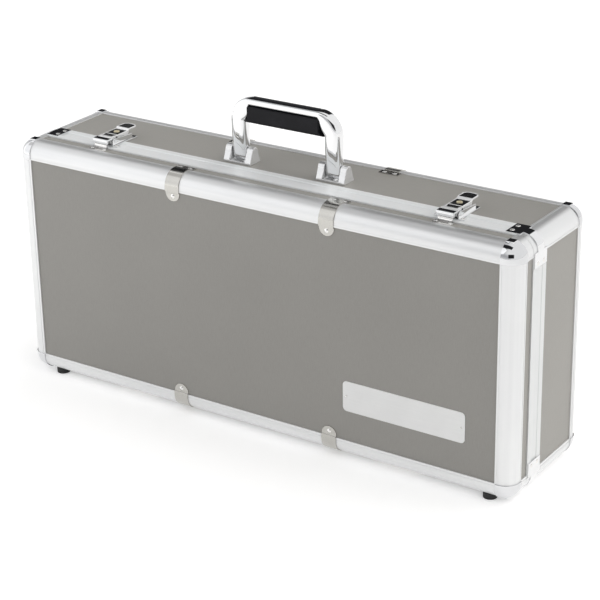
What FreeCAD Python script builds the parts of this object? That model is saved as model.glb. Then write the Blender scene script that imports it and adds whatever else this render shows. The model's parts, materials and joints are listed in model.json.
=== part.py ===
import FreeCAD
import Part
import math
import os
from FreeCAD import Vector

# Hard case for guitar pedals, standing on its long edge as it is carried. Millimetres.
# x runs along the case, y from the lid at the front to the back, z up from the floor.

# Case as a whole
case_length = 660.0
case_depth = 155.0
case_height = 290.0
lid_depth = 33.0
parting_gap = 0.4
foot_height = 6.0

# Edge extrusion: a quarter round with two lips and a slot for each panel
edge_width = 21.0
edge_radius = 17.0
edge_skin = 1.5
edge_flange = 1.5
slot_start = 13.0
lip_round = 0.5
bead_width = 2.4
bead_groove_width = 0.8
bead_groove_depth = 0.35
panel_thickness = 4.0
slot_clearance = 0.5

# Rim profile round the mouth of the base
rim_width = 29.0
rim_slot_depth = 10.0
rim_chamber_wall = 1.6
rim_recess_width = 13.0
rim_recess_depth = 0.6

# Tongue strips of the lid, which enter the rim
tongue_thickness = 1.5
tongue_reach = 6.0
tongue_clearance = 0.3
tongue_end_gap = 2.0

# Chrome ball corners
cap_thickness = 1.0
cap_reach = 20.5
cap_pad_start = 11.5

# Rivets
rivet_radius = 1.2
rivet_head_radius = 2.6
rivet_head_height = 0.9
rivet_grip = 5.0

# Saddle clips across the front and rear edges
clip_to_latch = 126.0
clip_width = 19.0
clip_thickness = 1.0
clip_tab_end = 32.5
clip_tab_rivet = 26.5
clip_bar_length = 25.0
clip_bar_depth = 8.0
clip_bar_rivet_pitch = 13.0

# Brackets round the corners of the rim
bracket_thickness = 1.0
bracket_depth = 26.0
bracket_tab = 17.0
bracket_strap_depth = 13.0
bracket_rivet_pitch = 12.5
bracket_rivet_inset = 4.6

# Nameplate on the lid
plate_end_inset = 57.5
plate_above_case_bottom = 75.0
plate_length = 152.0
plate_height = 36.0
plate_thickness = 0.8
plate_corner_radius = 5.0
plate_pin_radius = 1.2
plate_pin_inset = 4.5

# Rubber feet
foot_end_inset = 34.0
foot_inset = 16.5
foot_radius = 8.0
foot_recess_radius = 4.2
foot_recess_depth = 2.6
foot_screw_radius = 1.8
foot_screw_head_radius = 3.4
foot_screw_head_height = 1.8
foot_screw_length = 9.0

# Hinges under the bottom edge
hinge_end_inset = 150.0
hinge_length = 56.0
hinge_leaf_depth = 20.0
hinge_leaf_thickness = 1.0
knuckle_radius = 2.5
knuckle_gap = 0.4
hinge_pin_radius = 1.2
hinge_running_clearance = 0.06
hinge_axis_drop = 3.0
hinge_rivet_pitch = 40.0

# Carrying handle
handle_outer_length = 144.0
handle_leg_width = 19.6
handle_height = 76.5
handle_depth = 17.0
handle_leg_depth = 13.6
handle_bend_radius = 27.0
handle_rail_height = 9.0
handle_edge_chamfer = 3.2
handle_axis_y = 79.0
handle_axis_height = 9.6
handle_pin_radius = 2.4
handle_running_clearance = 0.07
grip_length = 94.0
grip_height = 19.5
grip_depth = 19.0
grip_round = 5.0
grip_seat_round = 2.0
top_strip_length = 88.0
top_strip_width = 5.0
top_strip_sink = 1.0
top_strip_rise = 0.3

# Handle mounts
mount_length = 37.0
mount_depth = 20.0
mount_base = 1.9
mount_height = 19.0
mount_slot_clearance = 0.5
mount_post_top_depth = 11.0
mount_bar_depth = 2.2
mount_bar_height = 2.6
mount_screw_radius = 2.0
mount_screw_depth = 7.0
mount_screw_head_radius = 3.6
mount_screw_head_height = 2.0
backing_thickness = 1.5
backing_length = 46.0
backing_depth = 24.0

# Latches: plate with two cheeks, lever with three black inserts, key cylinder and bail
latch_end_inset = 102.0
latch_plate_width = 26.0
latch_plate_length = 44.0
latch_plate_thickness = 1.2
latch_ear_width = 36.0
latch_ear_depth = 6.5
latch_ear_rivet_pitch = 30.0
latch_cheek_thickness = 1.3
latch_cheek_height = 8.6
latch_cheek_tail_height = 6.6
latch_cheek_length = 36.0
latch_front_gap = 5.7
lever_axis_height = 6.1
lever_nose_radius = 4.6
lever_width = 18.6
lever_length = 45.8
lever_wall = 1.6
lever_heel_drop = 1.5
lever_flat_length = 27.0
lever_tab_rise = 1.8
lever_tab_thickness = 2.2
lever_ramp_length = 2.4
lever_tab_end_radius = 6.5
lever_pin_radius = 1.3
lever_running_clearance = 0.05
insert_sink = 0.9
insert_recess = 0.3
insert_margin = 1.3
insert_gap = 1.4
insert_front_length = 8.0
insert_front_taper = 1.6
key_radius = 3.3
key_length = 7.0
key_rise = 0.3
key_slot_width = 0.9
key_slot_length = 3.8
key_slot_depth = 1.4
key_clearance = 0.06
bail_gap = 0.25
bail_thickness = 1.0
bail_arm_height = 2.2
bail_pin_back = 5.0
bail_pin_up = 2.9
bail_pin_radius = 0.6
bail_running_clearance = 0.05
bail_nose_gap = 0.5
bail_tongue_length = 5.5
bail_tongue_thickness = 1.4
bail_nose_depth = 2.6
bail_nose_height = 5.5
bail_nose_round = 1.9
keeper_width = 22.8
keeper_depth = 9.6
keeper_thickness = 1.0
keeper_lip_width = 17.0
keeper_lip_depth = 1.8
keeper_clearance = 0.5
keeper_rivet_pitch = 17.0

# Foam lining
lining_wall = 5.0
lining_back = 5.0
lining_lid = 8.0
lining_clearance = 0.5
lining_pocket_clearance = 1.5

cut_overrun = 5.0
arc_share = 1 - math.sqrt(0.5)

# Places that follow from the sizes above
x_end = case_length / 2
y_back = case_depth / 2
y_front = -case_depth / 2
z_bottom = foot_height
z_top = foot_height + case_height
z_middle = foot_height + case_height / 2
panel_inside = edge_skin + panel_thickness
flange_inside = panel_inside + edge_flange
y_parting = y_front + lid_depth
y_rim_front = y_parting + parting_gap
y_rim_back = y_parting + rim_width
y_tongue_end = y_parting + tongue_reach
y_tongue_room = y_tongue_end + tongue_end_gap
panel_reach = slot_start + slot_clearance
latch_x = x_end - latch_end_inset
clip_x = latch_x - clip_to_latch
hinge_x = x_end - hinge_end_inset
foot_x = x_end - foot_end_inset
plate_x = x_end - plate_end_inset - plate_length / 2


# Shapes
def block(x, y, z):
    """Box between three (low, high) pairs."""
    return Part.makeBox(x[1] - x[0], y[1] - y[0], z[1] - z[0], Vector(x[0], y[0], z[0]))


def rod(radius, start, end):
    """Cylinder from one point to another."""
    return Part.makeCylinder(radius, (end - start).Length, start, end - start)


def slab(outline, reach):
    """Extrude a closed outline. A point draws a line, a (middle, end) pair an arc."""
    edges = []
    here = outline[0]
    for step in list(outline[1:]) + [outline[0]]:
        if isinstance(step, tuple):
            edges.append(Part.Arc(here, step[0], step[1]).toShape())
            here = step[1]
        elif (step - here).Length > 0:
            edges.append(Part.LineSegment(here, step).toShape())
            here = step
    return Part.Face(Part.Wire(edges)).extrude(reach)


def both_sides(shape):
    """The shape and its twin at the other end of the case."""
    return [shape, in_x(shape)]


def in_x(shape):
    return shape.mirror(Vector(0, 0, 0), Vector(1, 0, 0))


def in_y(shape):
    return shape.mirror(Vector(0, 0, 0), Vector(0, 1, 0))


def in_z(shape):
    return shape.mirror(Vector(0, 0, z_middle), Vector(0, 0, 1))


def four_corners(shape):
    """The shape at the top right, and its twins at the other three long edges."""
    return [shape, in_x(shape), in_z(shape), in_x(in_z(shape))]


def solids_of(shapes):
    found = []
    for shape in shapes:
        found.extend(shape.Solids)
    return found


def clear_of(shape, others):
    """Cut away every one of the others that comes near the shape."""
    near = [other for other in others if shape.BoundBox.intersect(other.BoundBox)]
    return shape.cut(near) if near else shape


def write(name, shapes):
    solids = solids_of(shapes)
    shape = solids[0] if len(solids) == 1 else Part.makeCompound(solids)
    assert all(solid.isValid() and solid.Volume > 0 for solid in solids), name
    shape.exportStep("parts/" + name + ".step")
    print(name, len(solids), round(shape.Volume, 2))


# Rivets: the head stands on a face, the shank goes in against the direction
def rivet(foot, out, grip):
    """Domed rivet whose head rests at foot and looks along out."""
    dome_radius = (rivet_head_radius ** 2 + rivet_head_height ** 2) / (2 * rivet_head_height)
    centre = foot + out * (rivet_head_height - dome_radius)
    ball = Part.makeSphere(dome_radius, centre)
    head = ball.common(rod(rivet_head_radius, foot, foot + out * dome_radius))
    return head.fuse(rod(rivet_radius, foot - out * grip, foot)).removeSplitter()


def shank(foot, out, grip):
    """Hole for a rivet, from its head's seat inwards."""
    return rod(rivet_radius, foot - out * grip, foot)


# Edge extrusions
def edge_outline(place):
    """Section of an extrusion. place(u, v) puts a point u in from one face, v from the other."""
    lip_from = edge_width - bead_width
    groove_from = lip_from - bead_groove_width
    round_in = lip_round * arc_share
    half = [
        place(groove_from, 0),
        place(groove_from, bead_groove_depth),
        place(lip_from, bead_groove_depth),
        place(lip_from, 0),
        place(edge_width - lip_round, 0),
        (place(edge_width - round_in, round_in), place(edge_width, lip_round)),
        place(edge_width, edge_skin),
        place(slot_start, edge_skin),
        place(slot_start, panel_inside),
        place(edge_width, panel_inside),
        place(edge_width, flange_inside),
    ]
    other_half = [
        place(flange_inside, flange_inside),
        place(flange_inside, edge_width),
        place(panel_inside, edge_width),
        place(panel_inside, slot_start),
        place(edge_skin, slot_start),
        place(edge_skin, edge_width),
        place(lip_round, edge_width),
        (place(round_in, edge_width - round_in), place(0, edge_width - lip_round)),
        place(0, lip_from),
        place(bead_groove_depth, lip_from),
        place(bead_groove_depth, groove_from),
        place(0, groove_from),
        place(0, edge_radius),
    ]
    round_over = edge_radius * arc_share
    return [place(edge_radius, 0)] + half + other_half + [
        (place(round_over, round_over), place(edge_radius, 0))
    ]


def rounded_case(grow):
    """The case's outer form with all edges rounded, grown by a thickness."""
    body = block(
        (-x_end - grow, x_end + grow),
        (y_front - grow, y_back + grow),
        (z_bottom - grow, z_top + grow),
    )
    return body.makeFillet(edge_radius + grow, body.Edges)


case_form = rounded_case(0)


def top_back_edge():
    """Long rear extrusion at the top, mitred at both ends."""
    bar = slab(
        edge_outline(lambda u, v: Vector(-x_end, y_back - v, z_top - u)),
        Vector(case_length, 0, 0),
    )
    start = y_back - edge_width
    mitre = slab(
        [
            Vector(-x_end, start, z_top),
            Vector(x_end, start, z_top),
            Vector(x_end - edge_width, start, z_top - edge_width),
            Vector(-x_end + edge_width, start, z_top - edge_width),
        ],
        Vector(0, edge_width, 0),
    )
    return bar.common(mitre).common(case_form)


def right_back_edge():
    """Upright rear extrusion at the right, mitred at both ends."""
    bar = slab(
        edge_outline(lambda u, v: Vector(x_end - u, y_back - v, z_bottom)),
        Vector(0, 0, case_height),
    )
    start = y_back - edge_width
    mitre = slab(
        [
            Vector(x_end, start, z_bottom),
            Vector(x_end, start, z_top),
            Vector(x_end - edge_width, start, z_top - edge_width),
            Vector(x_end - edge_width, start, z_bottom + edge_width),
        ],
        Vector(0, edge_width, 0),
    )
    return bar.common(mitre).common(case_form)


def depth_edge(y_from, y_to):
    """Extrusion along the depth at the top right corner."""
    return slab(
        edge_outline(lambda u, v: Vector(x_end - u, y_from, z_top - v)),
        Vector(0, y_to - y_from, 0),
    )


def inside_walls(inset, y):
    """Block that fills the case to inset from its four long walls."""
    return block(
        (-x_end + inset, x_end - inset), y, (z_bottom + inset, z_top - inset)
    )


# Rim profile of the base
def rim_outline(place):
    """Section of the rim. place(y, v) puts a point at y, v in from the outer face."""
    slot_end = y_rim_back - rim_slot_depth
    tongue_room = panel_inside - tongue_clearance
    points = [place(y_rim_front, 0)]
    middle = (y_rim_front + y_rim_back) / 2
    near = middle - rim_recess_width / 2
    far = middle + rim_recess_width / 2
    points += [
        place(near, 0),
        place(near + rim_recess_depth, rim_recess_depth),
        place(far - rim_recess_depth, rim_recess_depth),
        place(far, 0),
        place(y_rim_back, 0),
        place(y_rim_back, edge_skin),
        place(slot_end, edge_skin),
        place(slot_end, panel_inside),
        place(y_rim_back, panel_inside),
        place(y_rim_back, flange_inside),
        place(y_tongue_room, flange_inside),
        place(y_tongue_room, tongue_room),
        place(y_rim_front, tongue_room),
    ]
    return points


def rim_chamber(place):
    """Hollow chamber that runs along the rim profile."""
    near = y_rim_front + rim_chamber_wall
    far = y_rim_back - rim_slot_depth - rim_chamber_wall
    shallow = rim_recess_depth + rim_chamber_wall
    deep = panel_inside - tongue_clearance - rim_chamber_wall / 2
    return [place(near, shallow), place(far, shallow), place(far, deep), place(near, deep)]


def top_rim():
    reach = Vector(case_length - 2 * edge_width, 0, 0)

    def place(y, v):
        return Vector(-x_end + edge_width, y, z_top - v)

    return slab(rim_outline(place), reach).cut(slab(rim_chamber(place), reach))


def right_rim():
    reach = Vector(0, 0, case_height - 2 * edge_width)

    def place(y, v):
        return Vector(x_end - v, y, z_bottom + edge_width)

    return slab(rim_outline(place), reach).cut(slab(rim_chamber(place), reach))


# Panels
panel_x = (-x_end + panel_reach, x_end - panel_reach)
panel_z = (z_bottom + panel_reach, z_top - panel_reach)
base_panel_y = (y_rim_back - rim_slot_depth + slot_clearance, y_back - panel_reach)
strip_y = (y_front + panel_reach, y_parting)
top_layer = (z_top - panel_inside, z_top - edge_skin)
right_layer = (x_end - panel_inside, x_end - edge_skin)


def back_panel():
    return block(panel_x, (y_back - panel_inside, y_back - edge_skin), panel_z)


# Ball corners
def top_right_back_cap():
    """Pressed ball corner with a flat pad on top."""
    cube = block(
        (x_end - cap_reach, x_end + cap_thickness),
        (y_back - cap_reach, y_back + cap_thickness),
        (z_top - cap_reach, z_top + cap_thickness),
    )
    pad = block(
        (x_end - cap_reach, x_end - cap_pad_start),
        (y_back - cap_reach, y_back - cap_pad_start),
        (z_top - edge_skin, z_top + cap_thickness),
    )
    shell = rounded_case(cap_thickness).common(cube).fuse(pad)
    return shell.cut(case_form).removeSplitter()


# Saddle clips
def top_front_clip():
    """Clip across the top front edge: a rounded tab in front, a bar with two rivets on top."""
    outer = -clip_thickness
    lip = edge_width
    step = edge_skin - clip_thickness
    round_outer = edge_radius * arc_share - clip_thickness * (1 - arc_share)
    round_inner = edge_radius * arc_share
    bar_end = lip + clip_thickness + clip_bar_depth
    start = clip_x - clip_width / 2

    def place(u, v):
        return Vector(start, y_front + u, z_top - v)

    strap = slab(
        [
            place(outer, edge_radius),
            (place(round_outer, round_outer), place(edge_radius, outer)),
            place(lip + clip_thickness, outer),
            place(lip + clip_thickness, step),
            place(bar_end, step),
            place(bar_end, edge_skin),
            place(lip, edge_skin),
            place(lip, 0),
            place(edge_radius, 0),
            (place(round_inner, round_inner), place(0, edge_radius)),
            place(0, lip),
            place(edge_skin, lip),
            place(edge_skin, clip_tab_end),
            place(step, clip_tab_end),
            place(step, lip + clip_thickness),
            place(outer, lip + clip_thickness),
        ],
        Vector(clip_width, 0, 0),
    )
    tab_radius = clip_width / 2
    tab_centre = z_top - clip_tab_end + tab_radius
    tab_room = block(
        (start, start + clip_width),
        (y_front - cut_overrun, y_front + edge_width + cut_overrun + bar_end),
        (tab_centre, z_top + cut_overrun),
    ).fuse(
        rod(
            tab_radius,
            Vector(clip_x, y_front - cut_overrun, tab_centre),
            Vector(clip_x, y_front + edge_width + cut_overrun, tab_centre),
        )
    )
    bar = block(
        (clip_x - clip_bar_length / 2, clip_x + clip_bar_length / 2),
        (y_front + lip + clip_thickness, y_front + bar_end),
        (z_top - edge_skin, z_top - step),
    )
    return strap.common(tab_room).fuse(bar).removeSplitter()


def clip_rivet_seats():
    """Seats and directions of the three rivets of the top front clip on the right."""
    step = edge_skin - clip_thickness
    bar_y = y_front + edge_width + clip_thickness + clip_bar_depth / 2
    seats = [(Vector(clip_x, y_front + step, z_top - clip_tab_rivet), Vector(0, -1, 0))]
    for side in (-1, 1):
        x = clip_x + side * clip_bar_rivet_pitch / 2
        seats.append((Vector(x, bar_y, z_top - step), Vector(0, 0, 1)))
    return seats


# Rim corner brackets
bracket_y = (
    y_rim_front + (rim_width - bracket_depth) / 2,
    y_rim_front + (rim_width + bracket_depth) / 2,
)
bracket_middle = (bracket_y[0] + bracket_y[1]) / 2
bracket_run = edge_radius + bracket_tab


def top_right_bracket():
    """Bracket over the top right corner of the rim, waisted where it goes round."""
    outer = -bracket_thickness
    round_outer = edge_radius * arc_share - bracket_thickness * (1 - arc_share)
    round_inner = edge_radius * arc_share

    def place(u, v):
        return Vector(x_end - u, bracket_y[0], z_top - v)

    plate = slab(
        [
            place(bracket_run, outer),
            place(edge_radius, outer),
            (place(round_outer, round_outer), place(outer, edge_radius)),
            place(outer, bracket_run),
            place(0, bracket_run),
            place(0, edge_radius),
            (place(round_inner, round_inner), place(edge_radius, 0)),
            place(bracket_run, 0),
        ],
        Vector(0, bracket_depth, 0),
    )
    notch = (bracket_depth - bracket_strap_depth) / 2
    for y in (
        (bracket_y[0] - cut_overrun, bracket_y[0] + notch),
        (bracket_y[1] - notch, bracket_y[1] + cut_overrun),
    ):
        corner = block(
            (x_end - edge_radius, x_end + cut_overrun),
            y,
            (z_top - edge_radius, z_top + cut_overrun),
        )
        plate = plate.cut(corner)
    return plate


def bracket_rivet_seats():
    seats = []
    along = bracket_run - bracket_rivet_inset
    for side in (-1, 1):
        y = bracket_middle + side * bracket_rivet_pitch / 2
        seats.append((Vector(x_end - along, y, z_top + bracket_thickness), Vector(0, 0, 1)))
        seats.append((Vector(x_end + bracket_thickness, y, z_top - along), Vector(1, 0, 0)))
    return seats


# Hinges
hinge_axis_y = y_parting + parting_gap / 2
hinge_axis_z = z_bottom - hinge_axis_drop
knuckle_length = (hinge_length - 2 * knuckle_gap) / 3
leaf_start = knuckle_radius + knuckle_gap
hinge_rivet_reach = (leaf_start + hinge_leaf_depth) / 2 + hinge_leaf_thickness


def knuckle(start, bore):
    """One knuckle on the right hinge's axis, from start along x."""
    first = Vector(start, hinge_axis_y, hinge_axis_z)
    last = first + Vector(knuckle_length, 0, 0)
    return rod(knuckle_radius, first, last).cut(rod(bore, first, last))


def hinge_leaf(side, starts, bore):
    """Leaf of the right hinge on one side of the parting line, with the knuckles at starts."""
    low = z_bottom - hinge_leaf_thickness
    spans = sorted((hinge_axis_y + side * leaf_start, hinge_axis_y + side * hinge_leaf_depth))
    webs = sorted((hinge_axis_y, hinge_axis_y + side * leaf_start))
    leaf = block(
        (hinge_x - hinge_length / 2, hinge_x + hinge_length / 2), spans, (low, z_bottom)
    )
    for start in starts:
        web = block((start, start + knuckle_length), webs, (hinge_axis_z, z_bottom))
        axis = rod(
            bore,
            Vector(start, hinge_axis_y, hinge_axis_z),
            Vector(start + knuckle_length, hinge_axis_y, hinge_axis_z),
        )
        leaf = leaf.fuse([web.cut(axis), knuckle(start, bore)])
    return leaf.removeSplitter()


def hinge_pin():
    half = hinge_length / 2
    return rod(
        hinge_pin_radius,
        Vector(hinge_x - half, hinge_axis_y, hinge_axis_z),
        Vector(hinge_x + half, hinge_axis_y, hinge_axis_z),
    )


def hinge_rivet_seats(side):
    y = hinge_axis_y + side * hinge_rivet_reach
    z = z_bottom - hinge_leaf_thickness
    return [
        (Vector(hinge_x + end * hinge_rivet_pitch / 2, y, z), Vector(0, 0, -1))
        for end in (-1, 1)
    ]


# Rubber feet
def front_foot():
    """Rubber foot at the right of the lid, shaped to the rounded edge above it."""
    floor = Vector(foot_x, y_front + foot_inset, 0)
    body = rod(foot_radius, floor, floor + Vector(0, 0, foot_height + edge_skin * 2))
    recess = rod(foot_recess_radius, floor, floor + Vector(0, 0, foot_recess_depth))
    hole = rod(foot_screw_radius, floor, floor + Vector(0, 0, foot_height + edge_radius))
    foot = body.cut([case_form, recess, hole])
    rim = [
        edge
        for edge in foot.Edges
        if edge.BoundBox.ZMax < foot_recess_depth / 2 and edge.BoundBox.XLength > foot_radius * 1.5
    ]
    return foot.makeFillet(lip_round, rim)


def front_foot_screw():
    seat = Vector(foot_x, y_front + foot_inset, foot_recess_depth)
    head = rod(foot_screw_head_radius, seat - Vector(0, 0, foot_screw_head_height), seat)
    return head.fuse(rod(foot_screw_radius, seat, seat + Vector(0, 0, foot_screw_length)))


def front_foot_hole():
    seat = Vector(foot_x, y_front + foot_inset, foot_recess_depth)
    return rod(foot_screw_radius, seat, seat + Vector(0, 0, foot_screw_length))


# Nameplate
def nameplate():
    """Bare plate with round corners on the lid's panel."""
    face = y_front + edge_skin
    middle = z_bottom + plate_above_case_bottom
    plate = block(
        (plate_x - plate_length / 2, plate_x + plate_length / 2),
        (face - plate_thickness, face),
        (middle - plate_height / 2, middle + plate_height / 2),
    )
    corners = [edge for edge in plate.Edges if edge.BoundBox.YLength > plate_thickness / 2]
    return plate.makeFillet(plate_corner_radius, corners)


def nameplate_pin_seats():
    y = y_front + edge_skin - plate_thickness
    reach = plate_length / 2 - plate_pin_inset
    z = z_bottom + plate_above_case_bottom
    return [(Vector(plate_x + side * reach, y, z), Vector(0, -1, 0)) for side in (-1, 1)]


def plate_pin(foot, out):
    """Small domed drive pin."""
    ball = Part.makeSphere(plate_pin_radius, foot)
    room = rod(plate_pin_radius, foot, foot + out * plate_pin_radius)
    point = foot - out * (plate_thickness + panel_thickness / 2)
    return ball.common(room).fuse(rod(plate_pin_radius / 2, point, foot)).removeSplitter()


def plate_pin_hole(foot, out):
    point = foot - out * (plate_thickness + panel_thickness / 2)
    return rod(plate_pin_radius / 2, point, foot)


# Handle
panel_top = z_top - edge_skin
axis_y = y_front + handle_axis_y
axis_z = panel_top + handle_axis_height
handle_top = z_top + handle_height
rail_under = handle_top - handle_rail_height
grip_under = rail_under - grip_height
leg_outer = handle_outer_length / 2
leg_inner = leg_outer - handle_leg_width
leg_middle = (leg_outer + leg_inner) / 2
leg_foot = axis_z - handle_leg_depth / 2


def handle_taper():
    """Side view of the handle, along its whole length: narrow at the pivots, wide at the rail."""
    low = handle_leg_depth / 2
    wide = handle_depth / 2

    def place(y, z):
        return Vector(-leg_outer, axis_y + y, z)

    return slab(
        [
            place(low, axis_z),
            place(wide, grip_under),
            place(wide, handle_top),
            place(-wide, handle_top),
            place(-wide, grip_under),
            place(-low, axis_z),
            (place(0, leg_foot), place(low, axis_z)),
        ],
        Vector(handle_outer_length, 0, 0),
    )


def handle_frame():
    """Chrome handle with bent corners, bevelled outer edges and two tapering legs."""
    bend = handle_bend_radius
    near = bend * arc_share
    grip_end = grip_length / 2
    slant = leg_inner - grip_end

    def place(x, z):
        return Vector(x, axis_y - handle_depth / 2, z)

    bow = slab(
        [
            place(leg_outer, leg_foot),
            place(leg_outer, handle_top - bend),
            (place(leg_outer - near, handle_top - near), place(leg_outer - bend, handle_top)),
            place(bend - leg_outer, handle_top),
            (place(near - leg_outer, handle_top - near), place(-leg_outer, handle_top - bend)),
            place(-leg_outer, leg_foot),
            place(-leg_inner, leg_foot),
            place(-leg_inner, grip_under),
            place(-grip_end, grip_under + slant),
            place(-grip_end, rail_under),
            place(grip_end, rail_under),
            place(grip_end, grip_under + slant),
            place(leg_inner, grip_under),
            place(leg_inner, leg_foot),
        ],
        Vector(0, handle_depth, 0),
    )
    outer = [
        edge
        for edge in bow.Edges
        if edge.BoundBox.YLength < handle_depth / 2
        and (
            edge.BoundBox.ZMin > rail_under
            and edge.BoundBox.ZMax > handle_top - bend
            or abs(edge.BoundBox.Center.x) > leg_outer - handle_leg_width / 2
            and edge.BoundBox.ZLength > handle_leg_width
        )
        and edge.BoundBox.ZMax > rail_under - bend
    ]
    bow = bow.makeChamfer(handle_edge_chamfer, outer).common(handle_taper())
    groove = block(
        (-top_strip_length / 2, top_strip_length / 2),
        (axis_y - top_strip_width / 2, axis_y + top_strip_width / 2),
        (handle_top - top_strip_sink, handle_top + cut_overrun),
    )
    bore = rod(
        handle_pin_radius + handle_running_clearance,
        Vector(-leg_outer, axis_y, axis_z),
        Vector(leg_outer, axis_y, axis_z),
    )
    return bow.cut([groove, bore])


def handle_grip():
    """Moulded grip under the rail, rounded below, with slanted ends."""
    grip_end = grip_length / 2
    slant = leg_inner - grip_end
    half = grip_depth / 2
    low = grip_round * arc_share
    high = grip_seat_round * arc_share

    def front(x, z):
        return Vector(x, axis_y - half, z)

    def side(y, z):
        return Vector(-leg_inner, axis_y + y, z)

    length = slab(
        [
            front(-leg_inner, grip_under),
            front(leg_inner, grip_under),
            front(grip_end, grip_under + slant),
            front(grip_end, rail_under),
            front(-grip_end, rail_under),
            front(-grip_end, grip_under + slant),
        ],
        Vector(0, grip_depth, 0),
    )
    section = slab(
        [
            side(-half + grip_round, grip_under),
            side(half - grip_round, grip_under),
            (side(half - low, grip_under + low), side(half, grip_under + grip_round)),
            side(half, rail_under - grip_seat_round),
            (side(half - high, rail_under - high), side(half - grip_seat_round, rail_under)),
            side(-half + grip_seat_round, rail_under),
            (side(-half + high, rail_under - high), side(-half, rail_under - grip_seat_round)),
            side(-half, grip_under + grip_round),
            (side(-half + low, grip_under + low), side(-half + grip_round, grip_under)),
        ],
        Vector(2 * leg_inner, 0, 0),
    )
    return length.common(section)


def top_strip():
    return block(
        (-top_strip_length / 2, top_strip_length / 2),
        (axis_y - top_strip_width / 2, axis_y + top_strip_width / 2),
        (handle_top - top_strip_sink, handle_top + top_strip_rise),
    )


# Handle mounts
mount_x = (leg_middle - mount_length / 2, leg_middle + mount_length / 2)
slot_half = handle_leg_width / 2 + mount_slot_clearance
post_width = mount_length / 2 - slot_half


def handle_mount():
    """Right mount: a base with two tapered posts, and a low bar before and behind the leg."""
    half = mount_depth / 2
    crown = mount_post_top_depth / 2
    shoulder = panel_top + mount_height - crown
    plate = block(
        mount_x, (axis_y - half, axis_y + half), (panel_top, panel_top + mount_base)
    )
    parts = []
    for start in (mount_x[0], mount_x[1] - post_width):

        def place(y, z):
            return Vector(start, axis_y + y, z)

        parts.append(
            slab(
                [
                    place(-half, panel_top),
                    place(half, panel_top),
                    place(half, panel_top + mount_base),
                    place(crown, shoulder),
                    (place(0, shoulder + crown), place(-crown, shoulder)),
                    place(-half, panel_top + mount_base),
                ],
                Vector(post_width, 0, 0),
            )
        )
    for y in (
        (axis_y - half, axis_y - half + mount_bar_depth),
        (axis_y + half - mount_bar_depth, axis_y + half),
    ):
        parts.append(block(mount_x, y, (panel_top, panel_top + mount_bar_height)))
    mount = plate.fuse(parts).removeSplitter()
    return mount.cut([handle_pin()] + mount_screw_holes())


def handle_pin():
    """Right pivot pin, held in both posts a little short of their outer faces."""
    reach = mount_length / 2 - mount_base
    return rod(
        handle_pin_radius,
        Vector(leg_middle - reach, axis_y, axis_z),
        Vector(leg_middle + reach, axis_y, axis_z),
    )


def mount_screw_line(side):
    """Centre of a mount screw at the inside of the panel."""
    x = leg_middle + side * (slot_half + post_width / 2)
    return Vector(x, axis_y, z_top - panel_inside)


def mount_screw_holes():
    holes = []
    for side in (-1, 1):
        foot = mount_screw_line(side) - Vector(0, 0, backing_thickness)
        tip = mount_screw_line(side) + Vector(0, 0, panel_thickness + mount_screw_depth)
        holes.append(rod(mount_screw_radius, foot, tip))
    return holes


def mount_screws():
    screws = []
    for side, shaft in zip((-1, 1), mount_screw_holes()):
        seat = mount_screw_line(side) - Vector(0, 0, backing_thickness)
        head = rod(mount_screw_head_radius, seat - Vector(0, 0, mount_screw_head_height), seat)
        screws.append(shaft.fuse(head).removeSplitter())
    return screws


def backing_plate(grow=0):
    """Steel plate inside the top panel under the right mount, or the room for it."""
    return block(
        (leg_middle - backing_length / 2 - grow, leg_middle + backing_length / 2 + grow),
        (axis_y - backing_depth / 2 - grow, axis_y + backing_depth / 2 + grow),
        (z_top - panel_inside - backing_thickness - grow * 4, z_top - panel_inside),
    )


# Latches, drawn for the right end of the case
latch_front = y_rim_front + latch_front_gap
lever_y = latch_front + lever_nose_radius
lever_z = z_top + lever_axis_height
lever_half = lever_width / 2
arm_inner = lever_half + bail_gap
arm_outer = arm_inner + bail_thickness
cheek_inner = arm_outer + bail_gap
cheek_outer = cheek_inner + latch_cheek_thickness
tab_start = lever_flat_length + lever_ramp_length
tongue_back = -lever_nose_radius - bail_nose_gap
nose_back = tongue_back - bail_tongue_length
nose_front = nose_back - bail_nose_depth
nose_top = bail_pin_up + bail_arm_height / 2
nose_under = nose_top - bail_nose_height
keeper_y = lever_y + (nose_front + nose_back) / 2


def latch_point(x):
    """Place points (y, z) measured from the lever's axis, at x from the latch's middle."""
    return lambda y, z: Vector(latch_x + x, lever_y + y, lever_z + z)


def latch_span(half):
    return (latch_x - half, latch_x + half)


def across(half, y, z, radius):
    """Rod across the latch, centred on its middle."""
    place = latch_point(0)
    reach = Vector(half, 0, 0)
    return rod(radius, place(y, z) - reach, place(y, z) + reach)


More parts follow.
